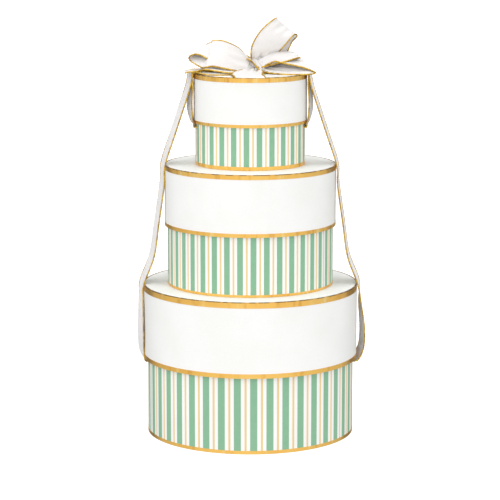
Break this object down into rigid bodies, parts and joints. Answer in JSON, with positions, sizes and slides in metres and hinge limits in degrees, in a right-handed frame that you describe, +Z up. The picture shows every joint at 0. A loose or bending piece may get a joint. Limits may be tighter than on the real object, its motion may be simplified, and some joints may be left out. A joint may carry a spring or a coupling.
{
  "type": "hat box",
  "caption": "Tower of round, lidded paper-covered hat boxes in falling sizes, striped bodies under white foil-edged lids, tied with a wide wired ribbon and bow.",
  "frame": {"origin": "centre of the large box's underside, where the tower stands", "axes": "+Z up along the shared axis of the boxes; -Y is the front that the bow faces; +X to the right seen from the front"},
  "size_m": [0.295, 0.2776, 0.5385],
  "materials": {
    "grey_board": "raw grey board",
    "striped_paper": "smooth paper with soft green, white and thin gold upright stripes",
    "gold_foil": "shiny gold foil paper",
    "lid_paper": "smooth white paper, satin",
    "lining_paper": "matte white paper",
    "base_paper": "matte cream paper",
    "ribbon_satin": "white sheer-woven satin with a gold wired edge"
  },
  "bodies": {
    "large_box": {"large_body_wall": "grey_board", "large_base_board": "grey_board", "large_body_wrap": "striped_paper", "large_foot_trim": "gold_foil", "large_base_paper": "base_paper", "large_body_lining": "lining_paper", "large_floor_paper": "lining_paper", "tie_ribbon_left": "ribbon_satin", "tie_ribbon_right": "ribbon_satin"},
    "large_lid": {"large_lid_wall": "grey_board", "large_lid_board": "grey_board", "large_lid_wrap": "lid_paper", "large_lid_top_paper": "lid_paper", "large_lid_top_trim": "gold_foil", "large_lid_lower_trim": "gold_foil", "large_lid_lining": "lining_paper", "large_lid_ceiling_paper": "lining_paper"},
    "medium_box": {"medium_body_wall": "grey_board", "medium_base_board": "grey_board", "medium_body_wrap": "striped_paper", "medium_foot_trim": "gold_foil", "medium_base_paper": "base_paper", "medium_body_lining": "lining_paper", "medium_floor_paper": "lining_paper"},
    "medium_lid": {"medium_lid_wall": "grey_board", "medium_lid_board": "grey_board", "medium_lid_wrap": "lid_paper", "medium_lid_top_paper": "lid_paper", "medium_lid_top_trim": "gold_foil", "medium_lid_lower_trim": "gold_foil", "medium_lid_lining": "lining_paper", "medium_lid_ceiling_paper": "lining_paper"},
    "small_box": {"small_body_wall": "grey_board", "small_base_board": "grey_board", "small_body_wrap": "striped_paper", "small_foot_trim": "gold_foil", "small_base_paper": "base_paper", "small_body_lining": "lining_paper", "small_floor_paper": "lining_paper", "small_ribbon_left": "ribbon_satin", "small_ribbon_right": "ribbon_satin"},
    "small_lid": {"small_lid_wall": "grey_board", "small_lid_board": "grey_board", "small_lid_wrap": "lid_paper", "small_lid_top_paper": "lid_paper", "small_lid_top_trim": "gold_foil", "small_lid_lower_trim": "gold_foil", "small_lid_lining": "lining_paper", "small_lid_ceiling_paper": "lining_paper", "bow_knot": "ribbon_satin", "bow_loop_left": "ribbon_satin", "bow_loop_upper": "ribbon_satin", "bow_loop_right": "ribbon_satin", "bow_loop_back": "ribbon_satin", "bow_loop_flat": "ribbon_satin", "bow_tail_left": "ribbon_satin", "bow_tail_front": "ribbon_satin"}
  },
  "joints": [
    {"name": "large_lid_lift", "type": "slide", "parent": "large_box", "child": "large_lid", "axis": [0, 0, 1], "range_m": [0, 0.11], "deforming": ["tie_ribbon_left", "tie_ribbon_right"]},
    {"name": "medium_box_lift", "type": "slide", "parent": "large_lid", "child": "medium_box", "axis": [0, 0, 1], "range_m": [0, 0.05]},
    {"name": "medium_lid_lift", "type": "slide", "parent": "medium_box", "child": "medium_lid", "axis": [0, 0, 1], "range_m": [0, 0.09]},
    {"name": "small_box_lift", "type": "slide", "parent": "medium_lid", "child": "small_box", "axis": [0, 0, 1], "range_m": [0, 0.05]},
    {"name": "small_lid_lift", "type": "slide", "parent": "small_box", "child": "small_lid", "axis": [0, 0, 1], "range_m": [0, 0.075], "deforming": ["small_ribbon_left", "small_ribbon_right"]}
  ]
}
